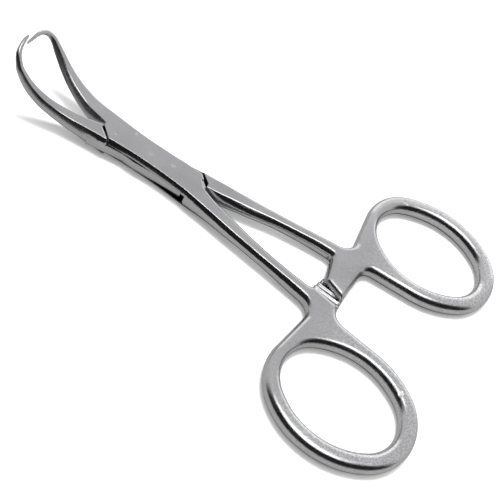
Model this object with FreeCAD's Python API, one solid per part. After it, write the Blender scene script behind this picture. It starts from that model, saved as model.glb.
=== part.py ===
"""Towel clamp: two forged arms crossed in a box lock, with a hidden pivot pin.

The frame: the pivot axis is Z, the jaws point along +X, the box rests on z = 0.
The female arm carries the box, the ring on the +Y side and the tine on the -Y side.
The male arm carries the tongue, the ring on the -Y side and the tine on the +Y side.
Each side is shaped on +Y first ("aside" is the distance out from the middle), then mirrored.
"""
import FreeCAD, Part
import math
import os
from FreeCAD import Vector

os.makedirs("parts", exist_ok=True)

# Heights, in millimetres
box_height = 5.0
ring_height = 3.54
mid_height = box_height / 2
ring_bottom = mid_height - ring_height / 2
ring_top = mid_height + ring_height / 2

# The rounded sides: how far they bulge past the flat faces, and the ground corner
box_bulge = 0.945
ring_bulge = 1.1
corner_radius = 0.16

# The box: its waisted side is one long arc, and the bars start where its height ends
waist_x = -1.6
waist_half_width = 2.8
waist_radius = 120.0
box_half_length = 8.6

# The shank: along, outer edge, flat width, top, bottom, outer bulge, inner bulge
shank_rows = [
    (-40.4, 7.00, 1.33, ring_top, ring_bottom, ring_bulge, ring_bulge),
    (-39.4, 6.85, 1.27, ring_top, ring_bottom + 0.02, 1.09, 1.09),
    (-36.4, 6.39, 1.15, 4.25, 0.93, 1.03, 1.03),
    (-31.6, 5.70, 1.14, 4.25, 1.27, 0.95, 0.95),
    (-26.6, 5.02, 1.38, 4.30, 1.36, 0.94, 0.94),
    (-21.6, 4.28, 1.68, 4.40, 1.24, 0.97, 0.97),
    (-17.6, 3.72, 1.92, 4.54, 0.98, 0.97, 0.93),
    (-14.6, 3.43, 2.32, 4.70, 0.66, 0.96, 0.72),
    (-12.3, 3.28, 2.86, 4.85, 0.34, 0.95, 0.32),
    (-10.4, 3.125, 3.45, 4.96, 0.10, box_bulge, 0.30),
]

# The tine, in the same terms; "along" follows the bent top face
tine_rows = [
    (10.4, 3.40, 3.55, box_height, 0.10, box_bulge, 0.30),
    (12.3, 3.55, 3.10, box_height, 0.45, 0.93, 0.32),
    (14.4, 3.72, 2.62, box_height, 1.10, 0.88, 0.70),
    (17.4, 4.08, 2.22, box_height, 1.95, 0.84, 0.80),
    (20.4, 4.60, 1.80, box_height, 2.40, 0.76, 0.76),
    (23.4, 5.18, 1.45, box_height, 2.70, 0.68, 0.68),
    (26.4, 5.70, 1.10, box_height, 3.00, 0.58, 0.58),
    (29.4, 6.02, 0.78, box_height, 3.38, 0.46, 0.46),
    (31.4, 6.08, 0.62, box_height, 3.62, 0.38, 0.38),
]

# The male arm stands out past the box's sides at the shoulders, and this fades along the bar
male_step = 0.55
step_fade = 14.0
female_fill = 0.35

# The upward bend of the tines: where it starts, its radius at the top face, its angle
bend_start = 16.4
bend_radius = 15.5
bend_angle = math.radians(49.0)

# The hooks at the ends of the tines: along and aside of the centre line, ending in a point
male_hook = [(33.2, 5.35), (34.45, 4.50), (35.2, 3.45), (35.7, 2.3), (36.0, 1.3)]
male_tip = (36.25, 0.40)
female_hook = [(33.2, 5.35), (34.4, 4.45), (35.0, 3.3), (35.2, 1.8), (35.15, 0.1)]
female_tip = (35.0, -1.90)
hook_flat = 0.50
hook_height = 1.20
hook_bulge = 0.32
tip_size = 0.10

# The finger rings: centre, half lengths of the band's centre line, end radius, flat width
ring_x = -57.7
ring_y = 21.35
ring_half_length = 14.25
ring_half_width = 11.15
ring_end_radius = 9.6
ring_flat = 1.55

# The web between shank, ring and ratchet arm: its corners before rounding, and their radii
outer_corner = (-44.8, 7.68)
outer_round = 3.45
inner_corner = (-42.22, 5.94)
inner_round = 1.9
near_corner = (-47.25, 8.40)
near_round = 3.8
arm_lean = math.radians(12.2)
arm_end_bulge = 0.7

# The ratchet: the male arm lies over the female ledge, with teeth on the facing sides
male_reach = [(-43.6, -1.35), (-47.6, -2.55)]
ledge_reach = -3.0
ledge_shoulder = [(-42.0, 4.9), (-47.6, 5.35)]
male_undercut = 5.1
ratchet_gap = 0.16
tooth_pitch = 1.05
tooth_depth = 0.42
tooth_ramp = 0.8
arm_bevel = 0.5

# The box lock: shoulder line, slot heights, and how far the male arm stands open
shoulder_outer = (9.5, 3.6)
shoulder_inner = (12.45, 0.75)
stand_open = 4.5
shoulder_gap = 0.04
shoulder_chamfer = 0.3
slot_bottom = 1.25
slot_top = 3.75
slot_radius = 10.85
slide_gap = 0.06
end_gap = 0.15
edge_break = 0.12

# The pivot pin
pin_radius = 1.3
pin_clearance = 0.05

UP = Vector(0, 0, 1)
ORIGIN = Vector(0, 0, 0)


def side_points(height, bulge):
    """A bulged side past its flat edge: corner start, corner middle, flank start, flank middle."""
    half = height / 2
    corner = min(corner_radius, height / 6, bulge / 2)
    radius = (half ** 2 + bulge ** 2) / (2 * bulge)
    centre = bulge - radius
    corner_v = half - corner
    corner_u = centre + math.sqrt((radius - corner) ** 2 - corner_v ** 2)
    lean = math.atan2(corner_v, corner_u - centre)
    middle = (math.pi / 2 + lean) / 2
    centre -= corner_u
    return [
        (0.0, half),
        (corner * math.cos(middle), corner_v + corner * math.sin(middle)),
        (centre + radius * math.cos(lean), radius * math.sin(lean)),
        (centre + radius, 0.0),
    ]


def side_edges(at, flat_u, sign, height, bulge):
    """The edges of one side of a section, from the top down, with at(u, v) placing its points."""
    upper = [(flat_u + sign * u, v) for u, v in side_points(height, bulge)]
    lower = [(u, -v) for u, v in upper]
    return [
        Part.Arc(at(*upper[0]), at(*upper[1]), at(*upper[2])).toShape(),
        Part.Arc(at(*upper[2]), at(*upper[3]), at(*lower[2])).toShape(),
        Part.Arc(at(*lower[2]), at(*lower[1]), at(*lower[0])).toShape(),
    ]


def section(edge, outward, upward, flat, height, bulge, inner_bulge):
    """A bar's section as a closed wire; edge is the middle of its outer flat edge."""
    def at(u, v):
        return edge + outward * u + upward * v

    half = height / 2
    top = Part.makeLine(at(-flat, half), at(0, half))
    bottom = Part.makeLine(at(0, -half), at(-flat, -half))
    right = side_edges(at, 0, 1, height, bulge)
    left = side_edges(at, -flat, -1, height, inner_bulge)
    return Part.Wire([top] + right + [bottom] + left[::-1])


def rim_profile(edge, outward, height, bulge):
    """The rounded side past a flat edge, and a strip of the flat behind it, as a closed wire."""
    def at(u, v):
        return edge + outward * u + UP * v

    half = height / 2
    back = Part.makeLine(at(-0.3, -half), at(-0.3, half))
    top = Part.makeLine(at(-0.3, half), at(0, half))
    bottom = Part.makeLine(at(0, -half), at(-0.3, -half))
    return Part.Wire([back, top] + side_edges(at, 0, 1, height, bulge) + [bottom])


def prism(points, low, high):
    """A plate with the plan outline given, from one height to another."""
    corners = [Vector(x, y, low) for x, y in points]
    return Part.Face(Part.makePolygon(corners + corners[:1])).extrude(Vector(0, 0, high - low))


def mirrored(shape):
    return shape.mirror(ORIGIN, Vector(0, 1, 0))


def turned(shape, degrees):
    copy = shape.copy()
    copy.rotate(ORIGIN, UP, degrees)
    return copy


def joined(shapes):
    return shapes[0].multiFuse(shapes[1:]).removeSplitter()


def smooth(rows, steps):
    """More rows between the given ones, on curves that never overshoot them."""
    def slope(index, column):
        if index in (0, len(rows) - 1):
            near = 1 if index == 0 else index - 1
            return (rows[near][column] - rows[index][column]) / (rows[near][0] - rows[index][0])
        before, here, after = rows[index - 1:index + 2]
        left = (here[column] - before[column]) / (here[0] - before[0])
        right = (after[column] - here[column]) / (after[0] - here[0])
        return 0.0 if left * right <= 0 else 2 * left * right / (left + right)

    result = []
    for index in range(len(rows) - 1):
        low, high = rows[index], rows[index + 1]
        length = high[0] - low[0]
        for step in range(steps):
            t = step / steps
            row = [low[0] + length * t]
            for column in range(1, len(low)):
                rise = low[column] * (2 * t ** 3 - 3 * t ** 2 + 1)
                rise += high[column] * (3 * t ** 2 - 2 * t ** 3)
                rise += slope(index, column) * length * (t ** 3 - 2 * t ** 2 + t)
                rise += slope(index + 1, column) * length * (t ** 3 - t ** 2)
                row.append(rise)
            result.append(tuple(row))
    return result + [rows[-1]]


def waist_edge(along):
    """The box's outer flat edge on its long arc, and the direction out from it."""
    centre = Vector(waist_x, waist_half_width + waist_radius, 0)
    lean = math.asin((along - waist_x) / waist_radius)
    outward = Vector(-math.sin(lean), math.cos(lean), 0)
    return centre - outward * waist_radius, outward, centre


def box_half():
    """The box on the +Y side, turned about the centre of its waisted side."""
    edge, outward, centre = waist_edge(-box_half_length)
    last, _, _ = waist_edge(box_half_length)
    place = edge + UP * mid_height
    wire = section(place, outward, UP, 4.0, box_height, box_bulge, box_bulge)
    start = math.atan2(edge.y - centre.y, edge.x - centre.x)
    end = math.atan2(last.y - centre.y, last.x - centre.x)
    return Part.Face(wire).revolve(centre, UP, math.degrees(end - start))


def joint_sections(sign):
    """The sections that carry a bar's loft smoothly out of the box."""
    wires = []
    for along in (box_half_length, box_half_length + 0.4):
        edge, outward, _ = waist_edge(sign * along)
        place = edge + UP * mid_height
        flat = 4.0 if along == box_half_length else 3.88
        wires.append(section(place, outward, UP, flat, box_height, box_bulge, box_bulge))
    return wires


def fading(along, amount):
    """A step at the shoulder that fades out along the bar."""
    past = min(max((abs(along) - 12.3) / step_fade, 0.0), 1.0)
    return amount * (1 - past * past * (3 - 2 * past))


def shank(step, fill):
    """One shank on the +Y side, from the web to the box."""
    rows = smooth(shank_rows, 2)
    wires = []
    for index, (along, outer, flat, top, bottom, bulge, inner_bulge) in enumerate(rows):
        near = rows[min(index + 1, len(rows) - 1)]
        far = rows[max(index - 1, 0)]
        ahead = Vector(near[0] - far[0], near[1] - far[1], 0).normalize()
        outward = UP.cross(ahead)
        edge = Vector(along, outer + fading(along, step), (top + bottom) / 2)
        flat += fading(along, fill)
        wires.append(section(edge, outward, UP, flat, top - bottom, bulge, inner_bulge))
    return Part.makeLoft(wires + joint_sections(-1)[::-1], True, False)


def bent(along):
    """Where the bent top face is at a length along the tine, and its direction there."""
    past = along - bend_start
    if past <= 0:
        return along, 0.0, 0.0
    turn = min(past / bend_radius, bend_angle)
    rest = max(past - bend_radius * bend_angle, 0.0)
    x = bend_start + bend_radius * math.sin(turn) + rest * math.cos(turn)
    rise = bend_radius * (1 - math.cos(turn)) + rest * math.sin(turn)
    return x, rise, turn


def tine(hook, tip, step, fill):
    """One tine on the +Y side, from the box to its point."""
    path = []
    for along, outer, flat, top, bottom, bulge, inner_bulge in smooth(tine_rows, 2):
        outer += fading(along, step)
        flat += fading(along, fill)
        path.append((along, outer - flat / 2, flat, top - bottom, bulge, inner_bulge))
    for number, (along, aside) in enumerate(hook):
        thin = 1 - 0.55 * number / len(hook)
        path.append((along, aside, hook_flat * thin, hook_height * thin, hook_bulge * thin,
                     hook_bulge * thin))
    path.append(tip + (tip_size, tip_size, tip_size / 3, tip_size / 3))
    wires = joint_sections(1)
    for index, (along, aside, flat, height, bulge, inner_bulge) in enumerate(path):
        near = path[min(index + 1, len(path) - 1)]
        far = path[max(index - 1, 0)]
        size = math.hypot(near[0] - far[0], near[1] - far[1])
        forward, sideways = (near[0] - far[0]) / size, (near[1] - far[1]) / size
        x, rise, turn = bent(along)
        upward = Vector(-math.sin(turn), 0, math.cos(turn))
        ahead = Vector(math.cos(turn), 0, math.sin(turn)) * forward + Vector(0, sideways, 0)
        outward = upward.cross(ahead)
        middle = Vector(x, aside, box_height + rise) - upward * (height / 2)
        edge = middle + outward * (flat / 2)
        wires.append(section(edge, outward, upward, flat, height, bulge, inner_bulge))
    return Part.makeLoft(wires, True, False)


def tangent_angle(corner, centre, radius, side):
    """The angle on a circle where a line from a corner touches it."""
    dx, dy = corner[0] - centre[0], corner[1] - centre[1]
    return math.atan2(dy, dx) + side * math.acos(radius / math.hypot(dx, dy))


def on_circle(centre, radius, angle):
    return (centre[0] + radius * math.cos(angle), centre[1] + radius * math.sin(angle))


def rounded(before, corner, after, radius):
    """The arc that rounds a corner: its start, end and centre."""
    a = Vector(before[0] - corner[0], before[1] - corner[1], 0).normalize()
    b = Vector(after[0] - corner[0], after[1] - corner[1], 0).normalize()
    half = a.getAngle(b) / 2
    reach = radius / math.tan(half)
    centre = Vector(corner[0], corner[1], 0) + (a + b).normalize() * (radius / math.sin(half))
    start = (corner[0] + a.x * reach, corner[1] + a.y * reach)
    end = (corner[0] + b.x * reach, corner[1] + b.y * reach)
    return start, end, (centre.x, centre.y)


def handle(reach):
    """Ring, web and ratchet arm on the +Y side, the arm reaching to the distance given."""
    height = ring_height
    z = mid_height
    ends = (ring_x + ring_half_length - ring_end_radius, ring_y)
    far_ends = (ring_x - ring_half_length + ring_end_radius, ring_y)
    spare = ring_half_length - ring_end_radius
    side_radius = spare ** 2 + ring_half_width ** 2 - ring_end_radius ** 2
    side_radius /= 2 * (ring_half_width - ring_end_radius)
    drop = side_radius - ring_half_width
    lower, upper = (ring_x, ring_y + drop), (ring_x, ring_y - drop)
    split = math.atan2(drop, spare)
    half = ring_flat / 2

    # The shank's end, as the loft leaves it
    first, second = smooth(shank_rows, 2)[:2]
    ahead = Vector(second[0] - first[0], second[1] - first[1], 0).normalize()
    outward = UP.cross(ahead)
    shank_outer = (first[0], first[1])
    shank_inner = (first[0] - outward.x * first[2], first[1] - outward.y * first[2])
    web_outer = on_line(shank_outer, ahead, outer_corner[0])
    web_inner = on_line(shank_inner, ahead, inner_corner[0])

    # Where the web's straight edges touch the ring
    rise = tangent_angle(web_outer, ends, ring_end_radius + half, 1)
    run = tangent_angle(near_corner, lower, side_radius + half, -1)
    ring_touch = on_circle(ends, ring_end_radius + half, rise)
    near_touch = on_circle(lower, side_radius + half, run)

    # The plan outline, anticlockwise, as (kind, start, end, centre, rim)
    far = (inner_corner[0] - math.tan(arm_lean) * (inner_corner[1] - reach), reach)
    near = (near_corner[0], reach)
    a0, a1, ac = rounded(shank_outer, web_outer, ring_touch, outer_round)
    b0, b1, bc = rounded(far, web_inner, shank_inner, inner_round)
    c0, c1, cc = rounded(near_touch, near_corner, near, near_round)
    outline = [
        ("line", shank_outer, a0, None), ("arc", a0, a1, ac), ("line", a1, ring_touch, None),
    ]
    # Round the ring on its outer edge, from the web's outer touch to its near touch
    stops = [
        (ends, ring_end_radius + half, rise, split),
        (upper, side_radius + half, split, math.pi - split),
        (far_ends, ring_end_radius + half, math.pi - split, math.pi + split),
        (lower, side_radius + half, math.pi + split, 2 * math.pi + run if run < 0 else run),
    ]
    for centre, radius, start, end in stops:
        outline.append(("turn", on_circle(centre, radius, start), on_circle(centre, radius, end),
                        centre))
    outline += [
        ("line", near_touch, c0, None), ("arc", c0, c1, cc), ("taper", c1, near, None),
        ("end", near, far, None), ("untaper", far, b0, None), ("arc", b0, b1, bc),
        ("line", b1, shank_inner, None), ("end", shank_inner, shank_outer, None),
    ]
    hole = []
    bounds = [
        (ends, ring_end_radius - half, -split, split), (upper, side_radius - half, split,
                                                        math.pi - split),
        (far_ends, ring_end_radius - half, math.pi - split, math.pi + split),
        (lower, side_radius - half, math.pi + split, 2 * math.pi - split),
    ]
    for centre, radius, start, end in bounds[::-1]:
        hole.append(("hole", on_circle(centre, radius, end), on_circle(centre, radius, start),
                     centre))

    plate = Part.Face([plan_wire(outline), plan_wire(hole)])
    plate.translate(UP * ring_bottom)
    solids = [plate.extrude(UP * height)]
    for kind, start, end, centre in outline + hole:
        if kind == "end" or math.dist(start, end) < 1e-6:
            continue
        solids.append(rim(kind, start, end, centre, z, height))
    return joined(solids)


def on_line(start, ahead, x):
    """The point of a line at a given x."""
    return (x, start[1] + ahead.y / ahead.x * (x - start[0]))


def arc_middle(kind, start, end, centre):
    """The middle of an arc of the outline, on the side its kind says."""
    a, b = Vector(*start, 0), Vector(*end, 0)
    c = Vector(*centre, 0)
    chord = (a + b) * 0.5 - c
    return c + chord.normalize() * (a - c).Length


def plan_wire(outline):
    edges = []
    for kind, start, end, centre in outline:
        a, b = Vector(*start, 0), Vector(*end, 0)
        if (b - a).Length < 1e-6:
            continue
        if centre is None:
            edges.append(Part.makeLine(a, b))
        else:
            edges.append(Part.Arc(a, arc_middle(kind, start, end, centre), b).toShape())
    return Part.Wire(edges)


def rim(kind, start, end, centre, z, height):
    """The rounded side along one edge of the outline, material on its left."""
    a, b = Vector(*start, z), Vector(*end, z)
    if centre is None:
        outward = (b - a).normalize().cross(UP)
        sizes = {"taper": (ring_bulge, arm_end_bulge), "untaper": (arm_end_bulge, ring_bulge)}
        first, last = sizes.get(kind, (ring_bulge, ring_bulge))
        if first == last:
            return Part.Face(rim_profile(a, outward, height, first)).extrude(b - a)
        wires = [rim_profile(a, outward, height, first), rim_profile(b, outward, height, last)]
        return Part.makeLoft(wires, True, True)
    c = Vector(*centre, z)
    turn = math.degrees((a - c).getAngle(b - c))
    if kind == "turn":
        outward = (b - c).normalize()
        return Part.Face(rim_profile(b, outward, height, ring_bulge)).revolve(c, UP, -turn)
    outward = (c - a).normalize()
    return Part.Face(rim_profile(a, outward, height, ring_bulge)).revolve(c, UP, -turn)


def plan_zone(outer, inner, low, high):
    """Everything past an oblique shoulder, towards the jaws."""
    reach = 6.0
    far = (outer[0] + (outer[0] - inner[0]) * reach, outer[1] + (outer[1] - inner[1]) * reach)
    points = [far, inner, (inner[0], -30), (80, -30), (80, far[1])]
    return prism(points, low, high)


def teeth(start, stop, level):
    """A block under saw teeth whose ridges run along X and whose tips are at the level given."""
    points = []
    y = start
    while y < stop:
        points += [(y, level - tooth_depth), (y + tooth_pitch * tooth_ramp, level)]
        y += tooth_pitch
    points += [(y, level - tooth_depth), (y, -5), (start, -5)]
    corners = [Vector(-60, a, b) for a, b in points]
    return Part.Face(Part.makePolygon(corners + corners[:1])).extrude(Vector(25, 0, 0))


def half_plane(line, depth=40):
    """The plan region on the left of a line given by two points."""
    (x0, y0), (x1, y1) = line
    size = math.dist(*line)
    dx, dy = (x1 - x0) / size, (y1 - y0) / size
    a = (x0 - dx * 20, y0 - dy * 20)
    b = (x1 + dx * 20, y1 + dy * 20)
    return [a, b, (b[0] - dy * depth, b[1] + dx * depth), (a[0] - dy * depth, a[1] + dx * depth)]


def edge_cutter(start, end, inward, size):
    """What a chamfer takes off a straight top edge."""
    def at(u, v):
        return start + inward * u + UP * v

    corners = [at(size, 0), at(0, -size), at(-0.5, -size), at(-0.5, 0.5), at(size, 0.5)]
    return Part.Face(Part.makePolygon(corners + corners[:1])).extrude(end - start)


# The plain halves of the box, and the bars of both arms
middle_cut = prism([(-12.7, 0), (12.7, 0), (12.7, -20), (-12.7, -20)], -20, 40)
box_side = box_half().cut(middle_cut)
female_shank = shank(0.0, female_fill).cut(middle_cut)
male_shank = shank(male_step, 0.0).cut(middle_cut)
female_tine = tine(female_hook, female_tip, 0.0, female_fill).cut(middle_cut)
male_tine = tine(male_hook, male_tip, male_step, 0.0).cut(middle_cut)

# Beyond the shoulders: the box ends at one line, and the male arm stands open from it
past_jaw = plan_zone(shoulder_outer, shoulder_inner, -5, 30)
past_handle = turned(past_jaw, 180)
open_jaw = turned(past_jaw, stand_open).translated(Vector(shoulder_gap, shoulder_gap, 0))
open_handle = turned(open_jaw, 180)

# The female arm: box, +Y shank and -Y tine, with the corners that reach its shoulders
corner_p = female_tine.cut(past_jaw)
corner_n = mirrored(female_shank).cut(past_handle)
box = joined([box_side, mirrored(box_side)])
female = joined([box, female_shank, corner_p, mirrored(female_tine), corner_n])

# The slot for the tongue: closed by an arc at the root corners, open towards the shoulders
slot_height = slot_top - slot_bottom
slot = Part.makeCylinder(slot_radius, slot_height, Vector(0, 0, slot_bottom), UP)
slot_jaw = prism([(0, 0.6), (20, 0.6), (20, 12), (0, 12)], slot_bottom, slot_top)
slot = joined([slot, slot_jaw, turned(slot_jaw, 180)])
female = female.cut(slot)

# The tongue: the box's own outline, turned open with the male arm, thinner than the slot
low, high = slot_bottom + slide_gap, slot_top - slide_gap
tongue_zone = Part.makeCylinder(slot_radius - end_gap, high - low, Vector(0, 0, low), UP)
tongue_jaw = prism([(0, 0.75), (14, 0.75), (14, 9), (0, 9)], low, high)
tongue_zone = joined([tongue_zone, tongue_jaw, turned(tongue_jaw, 180)])
outline_p = joined([box_side, female_tine.common(prism([(8, 0), (15, 0), (15, 9), (8, 9)], 0, 6))])
outline_n = turned(outline_p, 180)
tongue = turned(joined([outline_p, outline_n]).common(tongue_zone), stand_open)
male = joined([tongue, male_tine.common(open_jaw), mirrored(male_shank).common(open_handle)])

# The pivot pin through both plates and the tongue, its ends ground flush
pin = Part.makeCylinder(pin_radius, box_height, ORIGIN, UP)
female = female.cut(pin)
male = male.cut(Part.makeCylinder(pin_radius + pin_clearance, box_height, ORIGIN, UP))

# A chamfer on the box's edge at the handle shoulder, near its inner end
inner = Vector(-shoulder_inner[0], -shoulder_inner[1], box_height - 0.13)
outer = Vector(-shoulder_outer[0], -shoulder_outer[1], box_height - 0.13)
along = (outer - inner).normalize()
cutter = edge_cutter(inner - along, inner + along * 1.9, UP.cross(along) * -1, shoulder_chamfer)
female = female.cut(cutter)

# The female handle: its upper half ends at the shoulder, its lower half is the toothed ledge
handle_f = handle(ledge_reach)
ledge_teeth = teeth(-4.2, 6.0, mid_height - ratchet_gap / 2)
over_ledge = prism(half_plane(ledge_shoulder), -5, 12)
handle_f = handle_f.cut(over_ledge.cut(ledge_teeth))
female = joined([female, handle_f])

# The male handle: its lower half ends early, its upper half reaches over the ledge
handle_m = mirrored(handle(-4.0).cut(prism(half_plane(male_reach), -5, 12)))
arm_teeth = teeth(-male_undercut, 6.0, mid_height + ratchet_gap / 2 + tooth_depth)
handle_m = handle_m.cut(arm_teeth)
start = Vector(male_reach[0][0], -male_reach[0][1], ring_top)
end = Vector(male_reach[1][0], -male_reach[1][1], ring_top)
run = (end - start).normalize()
handle_m = handle_m.cut(edge_cutter(start - run * 3, end + run * 3, UP.cross(run), arm_bevel))
male = joined([male, handle_m])

for name, shape in (("male_arm", male), ("female_arm", female), ("pivot_pin", pin)):
    print(name, shape.isValid(), len(shape.Solids), round(shape.Volume, 1), shape.BoundBox)
    shape.exportStep(f"parts/{name}.step")
print("overlap", male.common(female).Volume)
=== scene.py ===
import math

import bpy
from mathutils import Matrix, Vector


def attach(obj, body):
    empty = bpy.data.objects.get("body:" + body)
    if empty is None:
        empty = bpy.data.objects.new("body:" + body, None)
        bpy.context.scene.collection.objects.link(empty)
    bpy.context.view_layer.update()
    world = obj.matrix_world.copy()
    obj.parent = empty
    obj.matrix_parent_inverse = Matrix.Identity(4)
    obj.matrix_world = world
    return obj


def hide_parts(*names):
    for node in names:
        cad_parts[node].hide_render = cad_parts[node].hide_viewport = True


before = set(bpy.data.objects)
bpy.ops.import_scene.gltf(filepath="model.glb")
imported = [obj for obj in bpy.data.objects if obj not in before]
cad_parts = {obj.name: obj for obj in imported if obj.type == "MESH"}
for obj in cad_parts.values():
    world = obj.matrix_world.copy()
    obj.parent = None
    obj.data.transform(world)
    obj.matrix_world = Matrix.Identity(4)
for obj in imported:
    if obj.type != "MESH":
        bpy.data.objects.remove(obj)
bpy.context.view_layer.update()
MM = 0.001

# The box in mm, as in the solids: its top and middle height, half its length, its bulged sides
TOP = 5.0
MID = TOP / 2
BOX_HALF_LENGTH = 8.6
BOX_BULGE = 0.945
BOX_SIDE_RADIUS = 3.78

# The tines' upward bend and the rings' centre and half sizes, in mm, as in the solids
BEND_START = 16.4
BEND_RADIUS = 15.5
BEND_ANGLE = math.radians(49)
RING_X, RING_Y = -57.7, 21.35
RING_HALF_LENGTH, RING_HALF_WIDTH = 14.25, 11.15

# The steel's textures: how many spots to a metre, and how deep in mm the bumps are
CLOUD_SCALE, MOTTLE_SCALE, SPECK_SCALE, GRAIN_SCALE = 95, 420, 3600, 5200
MOTTLE_DEPTH, MARK_DEPTH, GRAIN_DEPTH = 0.2, 0.12, 0.04
# Near-black painted shade for the upward faces in the box lock's gaps
GAP_SHADE_BLACK = (0.012, 0.012, 0.012, 1)

# Stretches along the arms, in mm, over which the finish changes between the rings and the jaws
FLECK_AND_SHEEN_FADE = (-56, -44)
RIM_FADE = (-52, -34)
POLISH_FADE = (-45, -30)
GRAIN_FADE = (-45, -25)
LEAN_FADE = (4, 14)
GROUND_FADE = (10, 16)

# Dents and scuffs seen on each arm, in mm: centre, reach and how deep they look
FEMALE_MARKS = [
    ((-66.99, 13.55, 4.1), 0.75, 1.6),
    ((0.83, 0.45, 5.0), 1.1, 0.3),
    ((9.24, 1.48, 5.0), 0.5, 0.3),
    ((6.16, -1.65, 5.0), 0.6, 0.3),
    ((-4.27, -0.23, 5.0), 0.8, 0.4),
]
MALE_MARKS = [((-47.91, -29.11, 4.2), 0.7, 1.2)]

# The sockets of a mix node that carry colours
COLOUR_A, COLOUR_B, COLOUR_OUT = 6, 7, 2


def cleared(owner):
    """The node tree of a material or world, emptied."""
    owner.use_nodes = True
    owner.node_tree.nodes.clear()
    return owner.node_tree


def feed(tree, socket, value):
    """Sets a socket to a value, or links it to another socket."""
    if isinstance(value, bpy.types.NodeSocket):
        tree.links.new(value, socket)
    else:
        socket.default_value = value


def maths(tree, operation, first, second=0):
    """A sum, product or other result of two numbers or sockets."""
    node = tree.nodes.new("ShaderNodeMath")
    node.operation = operation
    feed(tree, node.inputs[0], first)
    feed(tree, node.inputs[1], second)
    return node.outputs["Value"]


def vector_maths(tree, operation, first, second=(0, 0, 0)):
    """A node that works on two vectors or sockets."""
    node = tree.nodes.new("ShaderNodeVectorMath")
    node.operation = operation
    feed(tree, node.inputs[0], first)
    feed(tree, node.inputs[1], second)
    return node


def parted(tree, vector):
    """The x, y and z of a vector."""
    node = tree.nodes.new("ShaderNodeSeparateXYZ")
    tree.links.new(vector, node.inputs["Vector"])
    return node.outputs["X"], node.outputs["Y"], node.outputs["Z"]


def joined(tree, x=0, y=0, z=0):
    """A vector of an x, y and z."""
    node = tree.nodes.new("ShaderNodeCombineXYZ")
    for socket, value in zip(node.inputs, (x, y, z)):
        feed(tree, socket, value)
    return node.outputs["Vector"]


def mapped(tree, value, start, end, low, high, smooth=True):
    """A value brought from one range to another, whose ends may be sockets too."""
    node = tree.nodes.new("ShaderNodeMapRange")
    node.interpolation_type = "SMOOTHSTEP" if smooth else "LINEAR"
    tree.links.new(value, node.inputs["Value"])
    for name, bound in (("From Min", start), ("From Max", end), ("To Min", low), ("To Max", high)):
        feed(tree, node.inputs[name], bound)
    return node.outputs["Result"]


def faded(tree, x, stretch, low, high):
    """A value that goes from low to high over a stretch along the arms."""
    return mapped(tree, x, stretch[0] * MM, stretch[1] * MM, low, high)


def noise(tree, place, scale, detail, roughness=0.5):
    """Soft random spots, so many to a metre."""
    node = tree.nodes.new("ShaderNodeTexNoise")
    node.inputs["Scale"].default_value = scale
    node.inputs["Detail"].default_value = detail
    node.inputs["Roughness"].default_value = roughness
    tree.links.new(place, node.inputs["Vector"])
    return node.outputs["Fac"]


def mixed(tree, blend, factor, first, second):
    """Two colours blended."""
    node = tree.nodes.new("ShaderNodeMix")
    node.data_type = "RGBA"
    node.blend_type = blend
    feed(tree, node.inputs[0], factor)
    feed(tree, node.inputs[COLOUR_A], first)
    feed(tree, node.inputs[COLOUR_B], second)
    return node.outputs[COLOUR_OUT]


def bumped(tree, normal, height, strength, distance, sunk=False):
    """A normal tipped by a height, or by a depth where it is sunk."""
    node = tree.nodes.new("ShaderNodeBump")
    node.invert = sunk
    node.inputs["Distance"].default_value = distance
    feed(tree, node.inputs["Strength"], strength)
    tree.links.new(height, node.inputs["Height"])
    tree.links.new(normal, node.inputs["Normal"])
    return node.outputs["Normal"]


def coloured_ramp(tree, fac, stops):
    """A colour ramp of stops, each a place and a colour, of which the first two are its ends."""
    node = tree.nodes.new("ShaderNodeValToRGB")
    for element, (position, colour) in zip(node.color_ramp.elements, stops):
        element.position = position
        element.color = (*colour, 1)
    for position, colour in stops[2:]:
        node.color_ramp.elements.new(position).color = (*colour, 1)
    tree.links.new(fac, node.inputs["Fac"])
    return node


def steel_colour(tree, x, grain_place, speck, tone):
    """A tone that clouds over about a centimetre, with grain flecks that stand out on the rings,
    where they are also paler overall as painted sheen.
    """
    cloud = noise(tree, grain_place, CLOUD_SCALE, 2)
    dull = (tone * 0.90, tone * 0.90, tone * 0.92)
    clear = (tone * 1.06, tone * 1.06, tone * 1.06)
    clouded = coloured_ramp(tree, cloud, [(0.30, dull), (0.72, clear)])
    darkest = faded(tree, x, FLECK_AND_SHEEN_FADE, 0.94, 0.97)
    # Paler flecks on the rings are partly grain and partly painted sheen for their brighter look
    palest_with_sheen = faded(tree, x, FLECK_AND_SHEEN_FADE, 1.44, 1.08)
    fleck = mapped(tree, speck, 0.3, 0.7, darkest, palest_with_sheen, smooth=False)
    return mixed(tree, "MULTIPLY", 1.0, clouded.outputs["Color"], fleck)


def joint_shade_mask(tree, x, z, facing_up):
    """1 on the upward faces inside the box lock, where the painted shade goes, and 0 elsewhere."""
    upward = mapped(tree, facing_up, 0.6, 0.8, 0, 1)
    below_top = mapped(tree, z, 3.8 * MM, 4.0 * MM, 1, 0)
    near_pin = mapped(tree, maths(tree, "ABSOLUTE", x), 13.5 * MM, 14.0 * MM, 1, 0)
    return maths(tree, "MULTIPLY", maths(tree, "MULTIPLY", upward, below_top), near_pin)


def worn_rims(tree, x, y):
    """The normal of edges worn round: wide on the rings and webs, fine in front, none at the pin."""
    rim = tree.nodes.new("ShaderNodeBevel")
    rim.samples = 8
    from_pin = vector_maths(tree, "LENGTH", joined(tree, x, y)).outputs["Value"]
    clear_of_pin = mapped(tree, from_pin, 1.8 * MM, 2.2 * MM, 0, 1)
    wear = faded(tree, x, RIM_FADE, 1.1 * MM, 0.3 * MM)
    tree.links.new(maths(tree, "MULTIPLY", wear, clear_of_pin), rim.inputs["Radius"])
    return rim.outputs["Normal"]


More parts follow.
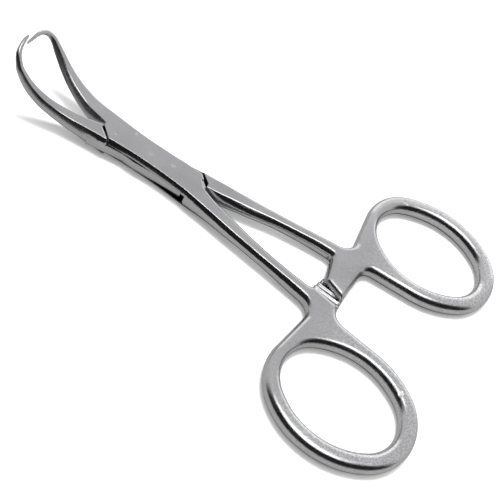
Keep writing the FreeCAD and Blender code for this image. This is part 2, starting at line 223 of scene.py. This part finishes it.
def marked(tree, place, marks):
    """How deep the marks look at a point."""
    total = 0
    for centre, reach, deep in marks:
        gap = vector_maths(tree, "DISTANCE", place, [value * MM for value in centre])
        near = mapped(tree, gap.outputs["Value"], 0.3 * reach * MM, reach * MM, deep, 0)
        total = maths(tree, "ADD", near, total)
    return total


def steel(name, tone, seed, lift, marks):
    """Satin stainless steel: fine random grain, faint mottling, worn rims, marks, and painted shade
    in the box lock's gaps.
    The seed moves the textures, and the lift leans the tine's flanks."""
    material = bpy.data.materials.new(name)
    tree = cleared(material)
    surface = tree.nodes.new("ShaderNodeTexCoord")
    place = surface.outputs["Object"]
    x, y, z = parted(tree, place)
    facing_side, facing_up = parted(tree, surface.outputs["Normal"])[1:]
    flank = maths(tree, "POWER", facing_side, 2)

    # Mottling a few millimetres across, polishing grain and specks
    shift = tree.nodes.new("ShaderNodeMapping")
    shift.inputs["Location"].default_value = (seed, seed * 0.7, 0)
    tree.links.new(place, shift.inputs["Vector"])
    grain_place = shift.outputs["Vector"]
    mottle = noise(tree, grain_place, MOTTLE_SCALE, 4, 0.6)
    grain = noise(tree, grain_place, GRAIN_SCALE, 3)
    speck = noise(tree, grain_place, SPECK_SCALE, 2)

    # The tines' flanks are ground, so they lean in towards the top and are duller
    lean = maths(tree, "MULTIPLY", flank, faded(tree, x, LEAN_FADE, 0, lift))
    leaning = vector_maths(tree, "ADD", worn_rims(tree, x, y), joined(tree, z=lean))
    normal = vector_maths(tree, "NORMALIZE", leaning.outputs["Vector"]).outputs["Vector"]
    rough_grain = faded(tree, x, GRAIN_FADE, 0.22, 0.06)
    normal = bumped(tree, normal, grain, rough_grain, GRAIN_DEPTH * MM)
    normal = bumped(tree, normal, mottle, 0.04, MOTTLE_DEPTH * MM)
    pitted = maths(tree, "MULTIPLY", marked(tree, place, marks), speck)
    normal = bumped(tree, normal, pitted, 0.8, MARK_DEPTH * MM, sunk=True)

    smoothest = faded(tree, x, POLISH_FADE, 0.12, 0.10)
    roughest = faded(tree, x, POLISH_FADE, 0.25, 0.20)
    satin = mapped(tree, mottle, 0, 1, smoothest, roughest, smooth=False)
    ground = maths(tree, "MULTIPLY", flank, faded(tree, x, GROUND_FADE, 0, 0.18))

    shader = tree.nodes.new("ShaderNodeBsdfPrincipled")
    shader.inputs["Metallic"].default_value = 1.0
    unshaded_colour = steel_colour(tree, x, grain_place, speck, tone)
    # Painted shade: the upward faces inside the box lock are turned near black
    colour = mixed(tree, "MIX", joint_shade_mask(tree, x, z, facing_up), unshaded_colour, GAP_SHADE_BLACK)
    tree.links.new(colour, shader.inputs["Base Color"])
    tree.links.new(maths(tree, "ADD", satin, ground), shader.inputs["Roughness"])
    tree.links.new(normal, shader.inputs["Normal"])
    output = tree.nodes.new("ShaderNodeOutputMaterial")
    tree.links.new(shader.outputs["BSDF"], output.inputs["Surface"])
    return material


# Sideways shift of the arms' surfaces, in mm, which trues them to the photograph. Each row holds
# the place along the arm, and the shifts at the four sides that PLAN_SIDES gives.
PLAN_SIDES = (-3, -1, 3, 5.5)
PLAN = [
    (-52, 0.0, 0.0, 0.0, 0.0),
    (-44, -0.5, -0.4, -0.25, -0.3),
    (-40, -0.62, -0.45, -0.3, -0.4),
    (-36, -0.62, -0.4, -0.2, -0.25),
    (-32, -0.5, -0.3, -0.12, -0.12),
    (-28, -0.48, -0.1, 0.0, 0.0),
    (-24, -0.4, 0.2, 0.13, 0.13),
    (-20, -0.27, 0.38, 0.25, 0.25),
    (-16, -0.05, 0.62, 0.25, 0.25),
    (-14, 0.2, 0.5, 0.2, 0.2),
    (-12, 0.45, 0.3, 0.17, 0.17),
    (-10, 0.6, 0.38, 0.15, 0.15),
    (-8, 0.45, 0.36, 0.13, 0.13),
    (-6, 0.4, 0.35, 0.12, 0.12),
    (-4, 0.52, 0.4, 0.1, 0.1),
    (0, 0.6, 0.42, 0.1, 0.1),
    (4, 0.8, 0.57, 0.1, 0.1),
    (8, 0.88, 0.62, 0.1, 0.1),
    (12, 0.93, 0.7, 0.25, 0.12),
    (16, 1.09, 0.93, 0.6, 0.35),
    (20, 1.25, 1.17, 1.0, 0.65),
    (24, 1.53, 1.49, 1.4, 1.13),
    (28, 1.6, 1.53, 1.4, 1.15),
    (31.5, 1.75, 1.57, 1.1, 1.05),
    (33, 1.6, 1.4, 0.95, 0.9),
    (37, 1.2, 1.2, 1.1, 1.1),
]

# The place along the arm, and how many times deeper the female and the male tine are there
DEPTH = [
    (12, 1.0, 1.0),
    (14.4, 1.06, 1.08),
    (17.4, 1.16, 1.2),
    (20.4, 1.14, 1.28),
    (23.4, 1.12, 1.32),
    (26.4, 1.18, 1.38),
    (29.4, 1.25, 1.4),
    (31.5, 1.2, 1.3),
    (33, 1.15, 1.15),
    (34.5, 1.0, 1.0),
]

# Nothing shifts sideways within the first radius from the pin, and all does from the second on
STILL_RADIUS, FREE_RADIUS = 1.7, 2.7

# How far out the top edge of the box, and of the bars beyond it, is at distances from the pin
BOX_EDGE = [(4, 2.9), (6, 3.14), (8, 3.47), (9.4, 3.7), (9.8, 3.94), (14.3, 4.22)]

# Half the tongue's height, with a little to spare
TONGUE_HALF_HEIGHT = 1.3

# The gaps at the box's shoulders open between two distances from the pin and above a height,
# each with the length over which that grows or fades; last, how far each arm draws back
GAP_START, GAP_GROWS = 8.5, 1.2
GAP_END, GAP_FADES = 15, 2.5
GAP_LOW, GAP_RISES = 3.9, 0.3
GAP_OPENING = {"female_arm": 0.15, "male_arm": -0.1}

# The neck between web and ring loses this much of its front, forward of its back and between its
# inner and outer side, each with the length over which that grows or fades
NECK_LOSS = 0.85
NECK_BACK, NECK_DEEPENS = -48, 2
NECK_INNER, NECK_GROWS = 8, 4
NECK_OUTER, NECK_FADES = 33, 14


def between(table, at):
    """The row of values at a place, on straight lines between the table's rows."""
    if at <= table[0][0]:
        return table[0][1:]
    for low, high in zip(table, table[1:]):
        if at <= high[0]:
            t = (at - low[0]) / (high[0] - low[0])
            return [a + (b - a) * t for a, b in zip(low[1:], high[1:])]
    return table[-1][1:]


def share(value):
    """A value kept between 0 and 1."""
    return min(max(value, 0), 1)


def bent_place(x, z):
    """Where a point is along the bent top face of a tine, and how far below it."""
    if x <= BEND_START:
        return x, TOP - z
    rise = TOP + BEND_RADIUS - z
    turn = math.atan2(x - BEND_START, rise)
    if turn <= BEND_ANGLE:
        return BEND_START + BEND_RADIUS * turn, math.hypot(x - BEND_START, rise) - BEND_RADIUS
    c, s = math.cos(BEND_ANGLE), math.sin(BEND_ANGLE)
    dx = x - BEND_START - BEND_RADIUS * s
    dz = z - TOP - BEND_RADIUS * (1 - c)
    return BEND_START + BEND_RADIUS * BEND_ANGLE + dx * c + dz * s, dx * s - dz * c


def bent_point(along, depth):
    """The x and z of a point given along the bent top face and below it."""
    if along <= BEND_START:
        return along, TOP - depth
    turn = min((along - BEND_START) / BEND_RADIUS, BEND_ANGLE)
    rest = along - BEND_START - BEND_RADIUS * turn
    c, s = math.cos(turn), math.sin(turn)
    x = BEND_START + BEND_RADIUS * s + rest * c + depth * s
    return x, TOP + BEND_RADIUS * (1 - c) + rest * s - depth * c


def trued(x, y, z, column):
    """A point of an arm moved in plan and in depth; the column picks the arm's depths."""
    along, depth = bent_place(x, z)
    shift = between(list(zip(PLAN_SIDES, between(PLAN, along))), y)[0]
    shift *= share((math.hypot(x, y) - STILL_RADIUS) / (FREE_RADIUS - STILL_RADIUS))
    x, z = bent_point(along, depth * between(DEPTH, along)[column])
    return x, y + shift, z


def opened_gap(x, y, z, opening):
    """A point near the gap at a shoulder of the box, moved to open the gap a little."""
    out = abs(x)
    if GAP_START < out < GAP_END and x * y > 0 and z > GAP_LOW:
        back = share((out - GAP_START) / GAP_GROWS) * share((GAP_END - out) / GAP_FADES)
        x -= math.copysign(opening * back * share((z - GAP_LOW) / GAP_RISES), x)
    return x, y, z


def slimmed_neck(x, y, z):
    """A point of the neck's edge, drawn back towards the ring, whose opening stays."""
    side = abs(y)
    off_x = (x - RING_X) / RING_HALF_LENGTH
    off_y = (side - RING_Y) / RING_HALF_WIDTH
    if side > NECK_INNER and x > NECK_BACK and math.hypot(off_x, off_y) > 1:
        part = share((side - NECK_INNER) / NECK_GROWS) * share((NECK_OUTER - side) / NECK_FADES)
        x -= NECK_LOSS * part * share((x - NECK_BACK) / NECK_DEEPENS)
    return x, y, z


def without_ledge(x, y, z):
    """A point of the tongue's side, drawn in to the box or to the bar that it runs into."""
    out = abs(x)
    start, edge = BOX_EDGE[0]
    end = BOX_EDGE[-1][0]
    beyond = out < start or out > end or abs(z - MID) > TONGUE_HALF_HEIGHT
    if beyond or x * y < 0 or abs(y) < edge:
        return x, y, z
    bulge = math.sqrt(BOX_SIDE_RADIUS ** 2 - (z - MID) ** 2) - BOX_SIDE_RADIUS + BOX_BULGE
    return x, math.copysign(min(abs(y), between(BOX_EDGE, out)[0] + bulge), y), z


def dressed(name, body):
    """A copy of a node's surface, trued, which stands for the node."""
    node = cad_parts[name]
    mesh = node.data.copy()
    mesh.name = name + "_trued"
    for vertex in mesh.vertices:
        point = [value / MM for value in vertex.co]
        if name == "male_arm":
            point = without_ledge(*point)
        point = opened_gap(*point, GAP_OPENING[name])
        point = trued(*slimmed_neck(*point), 1 if name == "male_arm" else 0)
        vertex.co = [value * MM for value in point]
    piece = bpy.data.objects.new(name + "_trued", mesh)
    bpy.context.scene.collection.objects.link(piece)
    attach(piece, body)
    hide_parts(name)
    return piece


# The arms in their steels, and the pin, which is ground flush in the female arm's steel
finishes = {
    "female_arm": ("female", steel("female_steel", 0.66, 0.0, 0.6, FEMALE_MARKS)),
    "male_arm": ("male", steel("male_steel", 0.65, 3.1, 0.22, MALE_MARKS)),
}
for name, (body, material) in finishes.items():
    piece = dressed(name, body)
    piece.data.materials.clear()
    piece.data.materials.append(material)
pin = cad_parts["pivot_pin"]
pin.data.materials.clear()
pin.data.materials.append(finishes["female_arm"][1])

# The floor, in metres. It touches the box's rear edge and the rings, so it leans a little.
FLOOR_REACH = 0.9
FLOOR_LEAN = 0.0119
FLOOR_GAP = 0.00002
PAPER_WHITE = (0.86, 0.86, 0.85, 1)
PAPER_IN_STEEL = (0.33, 0.33, 0.325, 1)
PAPER_GLOW = 0.3


def white_paper():
    """Paper that glows a little for the camera and looks dimmer in the steel."""
    material = bpy.data.materials.new("floor_white")
    tree = cleared(material)
    paper = tree.nodes.new("ShaderNodeBsdfDiffuse")
    paper.inputs["Color"].default_value = PAPER_WHITE
    dim = tree.nodes.new("ShaderNodeBsdfDiffuse")
    dim.inputs["Color"].default_value = PAPER_IN_STEEL
    glow = tree.nodes.new("ShaderNodeEmission")
    glow.inputs["Strength"].default_value = PAPER_GLOW
    glowing = tree.nodes.new("ShaderNodeAddShader")
    tree.links.new(paper.outputs["BSDF"], glowing.inputs[0])
    tree.links.new(glow.outputs["Emission"], glowing.inputs[1])
    ray = tree.nodes.new("ShaderNodeLightPath")
    mirrored = tree.nodes.new("ShaderNodeMixShader")
    tree.links.new(ray.outputs["Is Glossy Ray"], mirrored.inputs["Fac"])
    tree.links.new(paper.outputs["BSDF"], mirrored.inputs[1])
    tree.links.new(dim.outputs["BSDF"], mirrored.inputs[2])
    seen = tree.nodes.new("ShaderNodeMixShader")
    tree.links.new(ray.outputs["Is Camera Ray"], seen.inputs["Fac"])
    tree.links.new(mirrored.outputs["Shader"], seen.inputs[1])
    tree.links.new(glowing.outputs["Shader"], seen.inputs[2])
    output = tree.nodes.new("ShaderNodeOutputMaterial")
    tree.links.new(seen.outputs["Shader"], output.inputs["Surface"])
    return material


corners = []
for x, y in ((-1, -1), (1, -1), (1, 1), (-1, 1)):
    height = -FLOOR_LEAN * (x * FLOOR_REACH + BOX_HALF_LENGTH * MM) - FLOOR_GAP
    corners.append((x * FLOOR_REACH, y * FLOOR_REACH, height))
floor_mesh = bpy.data.meshes.new("floor")
floor_mesh.from_pydata(corners, [], [(0, 1, 2, 3)])
floor = bpy.data.objects.new("floor", floor_mesh)
bpy.context.scene.collection.objects.link(floor)
floor_mesh.materials.append(white_paper())


# The sky's directions: towards the camera's side, and up to the bright patch
CAMERA_SIDE = (-0.155, 0.988, 0.0)
PATCH_SIDE = (-0.011, 0.069, 0.998)


def studio_world():
    """A sky that is pale far ahead, grey nearer, and dark on the camera's side, so that the near
    sides of the steel reflect dark; a bright patch overhead gives the rims their highlights."""
    world = bpy.data.worlds.new("studio")
    tree = cleared(world)
    direction = tree.nodes.new("ShaderNodeTexCoord").outputs["Generated"]
    toward = vector_maths(tree, "DOT_PRODUCT", direction, CAMERA_SIDE).outputs["Value"]
    unit = mapped(tree, toward, -1, 1, 0, 1, smooth=False)
    pale, grey, dark = (1.15, 1.15, 1.15), (0.55, 0.55, 0.56), (0.014, 0.014, 0.014)
    around = coloured_ramp(tree, unit, [(0.125, pale), (0.66, dark), (0.165, grey), (0.47, grey)])
    around.color_ramp.interpolation = "EASE"
    above = vector_maths(tree, "DOT_PRODUCT", direction, PATCH_SIDE).outputs["Value"]
    patch = mapped(tree, above, 0.935, 0.965, 0, 2.3)
    back = tree.nodes.new("ShaderNodeBackground")
    back.inputs["Strength"].default_value = 1.0
    tree.links.new(mixed(tree, "ADD", 1.0, around.outputs["Color"], patch), back.inputs["Color"])
    output = tree.nodes.new("ShaderNodeOutputWorld")
    tree.links.new(back.outputs["Background"], output.inputs["Surface"])
    return world


bpy.context.scene.world = studio_world()

# One soft lamp overhead, in metres and watts: it casts the shadow, and leaves highlights to the sky
LAMP_PLACE = Vector((0.03, -0.08, 0.54))
LAMP_AIM = Vector((-0.02, 0, 0))
LAMP_SIZE = (0.17, 0.15)
LAMP_POWER = 2.8
lamp_data = bpy.data.lights.new("overhead", "AREA")
lamp_data.shape = "RECTANGLE"
lamp_data.size, lamp_data.size_y = LAMP_SIZE
lamp_data.energy = LAMP_POWER
lamp = bpy.data.objects.new("overhead", lamp_data)
lamp.location = LAMP_PLACE
lamp.rotation_euler = (LAMP_AIM - LAMP_PLACE).to_track_quat("-Z", "Y").to_euler()
lamp.visible_glossy = False
bpy.context.scene.collection.objects.link(lamp)

# The camera, at the photograph's angle: angles in radians, lengths in mm
AZIMUTH, ELEVATION, ROLL = 1.726242, 0.924865, 0.481716
CAMERA_AIM = (-27.414, 6.288, 4.65)
CAMERA_DISTANCE = 168.315
LENS, SENSOR = 61.2, 36
away = Vector((math.cos(ELEVATION) * math.cos(AZIMUTH), math.cos(ELEVATION) * math.sin(AZIMUTH),
               math.sin(ELEVATION)))
right = Vector((0, 0, 1)).cross(away).normalized()
up = away.cross(right)
side = right * math.cos(ROLL) + up * math.sin(ROLL)
top = up * math.cos(ROLL) - right * math.sin(ROLL)
spot = Vector(CAMERA_AIM) * MM + away * (CAMERA_DISTANCE * MM)
camera_data = bpy.data.cameras.new("camera")
camera_data.lens = LENS
camera_data.sensor_width = SENSOR
camera_data.clip_start = 0.01
camera_data.clip_end = 10
camera = bpy.data.objects.new("camera", camera_data)
bpy.context.scene.collection.objects.link(camera)
camera.matrix_world = Matrix((
    (side.x, top.x, away.x, spot.x), (side.y, top.y, away.y, spot.y),
    (side.z, top.z, away.z, spot.z), (0, 0, 0, 1)))
bpy.context.scene.camera = camera
bpy.context.scene.view_settings.view_transform = "Standard"
